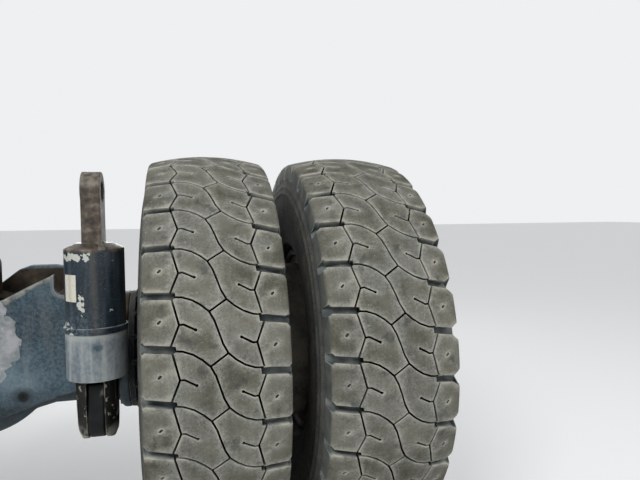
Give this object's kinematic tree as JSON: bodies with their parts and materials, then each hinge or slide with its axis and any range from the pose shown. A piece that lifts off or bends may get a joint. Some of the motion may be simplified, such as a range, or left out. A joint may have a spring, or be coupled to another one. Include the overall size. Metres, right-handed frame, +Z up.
{
  "type": "rear axle with twin wheels of a mining dump truck",
  "caption": "Driven rear axle of a mining dump truck: banjo housing with A-frame, suspension cylinders behind it, and freely turning twin wheels with worn lug tyres on both ends.",
  "frame": {"origin": "middle of the pivot bore at the nose of the A-frame", "axes": "+X to the truck's right along the axle and the pivot bore, +Y forward in the direction of travel, +Z up"},
  "size_m": [4.492, 2.6887, 2.1276],
  "materials": {
    "housing_paint": "dusty blue-grey paint on rough casting",
    "frame_paint": "dark grey paint, dusty and greasy",
    "cylinder_paint": "blue-black paint, flaked at the rims",
    "sleeve_paint": "light grey paint under dust",
    "wheel_paint": "dusty grey paint",
    "bare_steel": "machined steel, dulled",
    "tyre": "worn rubber under grey-brown dust"
  },
  "bodies": {
    "axle": {"axle_housing": "housing_paint", "differential_carrier": "housing_paint", "input_flange": "bare_steel", "right_brake_housing": "housing_paint", "left_brake_housing": "housing_paint", "right_spindle": "bare_steel", "left_spindle": "bare_steel", "a_frame_nose": "frame_paint", "right_a_frame_arm": "frame_paint", "left_a_frame_arm": "frame_paint", "lateral_rod": "frame_paint", "lateral_rod_pin": "bare_steel", "right_strut_tube": "cylinder_paint", "left_strut_tube": "cylinder_paint", "right_strut_sleeve": "sleeve_paint", "left_strut_sleeve": "sleeve_paint", "right_strut_fork": "frame_paint", "left_strut_fork": "frame_paint", "right_lower_pin": "bare_steel", "left_lower_pin": "bare_steel"},
    "right_twin_wheel": {"right_hub": "wheel_paint", "right_final_drive_cover": "wheel_paint", "right_inner_rim": "wheel_paint", "right_outer_rim": "wheel_paint", "right_spacer_band": "wheel_paint", "right_rim_clamps": "bare_steel", "right_inner_tyre": "tyre", "right_outer_tyre": "tyre"},
    "left_twin_wheel": {"left_hub": "wheel_paint", "left_final_drive_cover": "wheel_paint", "left_inner_rim": "wheel_paint", "left_outer_rim": "wheel_paint", "left_spacer_band": "wheel_paint", "left_rim_clamps": "bare_steel", "left_inner_tyre": "tyre", "left_outer_tyre": "tyre"}
  },
  "joints": [
    {"name": "right_wheel_turn", "type": "hinge", "parent": "axle", "child": "right_twin_wheel", "pos_m": [1.535, -1.5, 0.2], "axis": [1, 0, 0], "continuous": true},
    {"name": "left_wheel_turn", "type": "hinge", "parent": "axle", "child": "left_twin_wheel", "pos_m": [-1.535, -1.5, 0.2], "axis": [1, 0, 0], "continuous": true}
  ]
}
